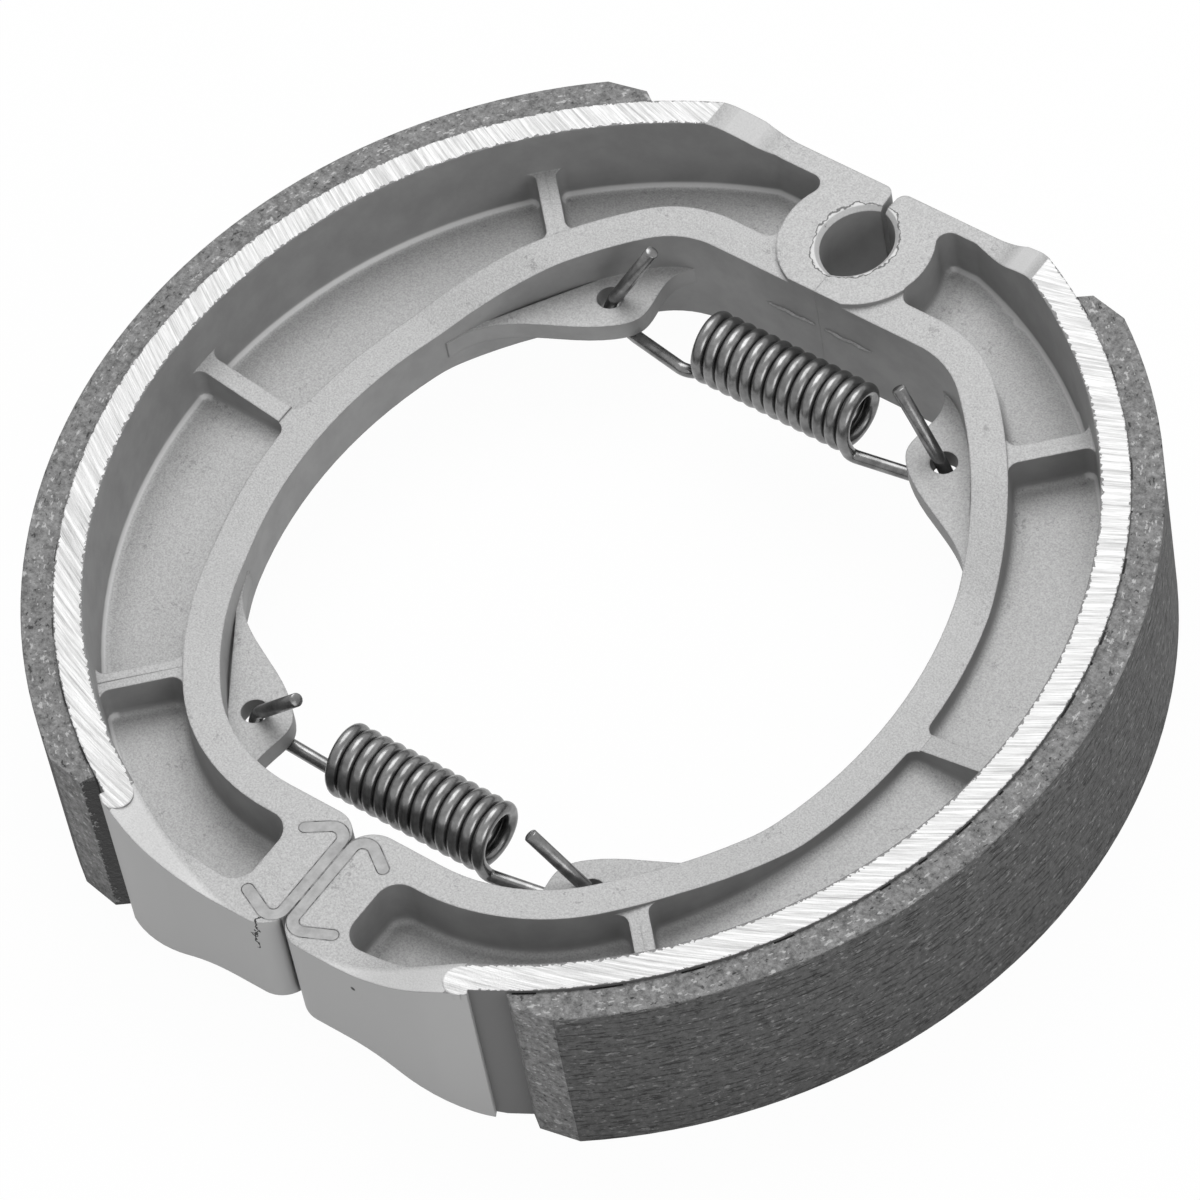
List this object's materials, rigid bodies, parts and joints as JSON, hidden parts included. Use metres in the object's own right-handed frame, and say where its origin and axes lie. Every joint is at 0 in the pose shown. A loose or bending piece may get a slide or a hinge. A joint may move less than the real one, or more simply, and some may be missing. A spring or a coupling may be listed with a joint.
{
  "type": "drum brake shoe set",
  "caption": "Pair of cast aluminium drum brake shoes with bonded linings, wear plates at the cam end and return springs hooked across.",
  "frame": {"origin": "midway between the two ends of the closed pair, on the plane of the lower rim edges", "axes": "+Z along the drum's axis; +Y towards the anchor end, -Y towards the cam end; X = 0 is the parting plane, +X towards the right shoe"},
  "size_m": [0.1498, 0.142, 0.0288],
  "materials": {
    "casting": "shot-blasted casting with milled rim edges",
    "lining": "ground friction composite",
    "wear_plate": "plain cold-rolled",
    "spring_wire": "oil-hardened, dark"
  },
  "bodies": {
    "left_shoe": {"shoe_left": "casting", "lining_left": "lining", "cam_plate_left": "wear_plate", "return_spring_upper": "spring_wire", "return_spring_lower": "spring_wire"},
    "right_shoe": {"shoe_right": "casting", "lining_right": "lining", "cam_plate_right": "wear_plate"}
  },
  "joints": [
    {"name": "shoe_spread", "type": "hinge", "parent": "left_shoe", "child": "right_shoe", "pos_m": [0, 0.061, 0.0144], "axis": [0, 0, 1], "range_deg": [0, 6.5], "stiffness_Nm_per_rad": 180, "springref_deg": -1.49, "deforming": ["return_spring_upper", "return_spring_lower"]}
  ]
}
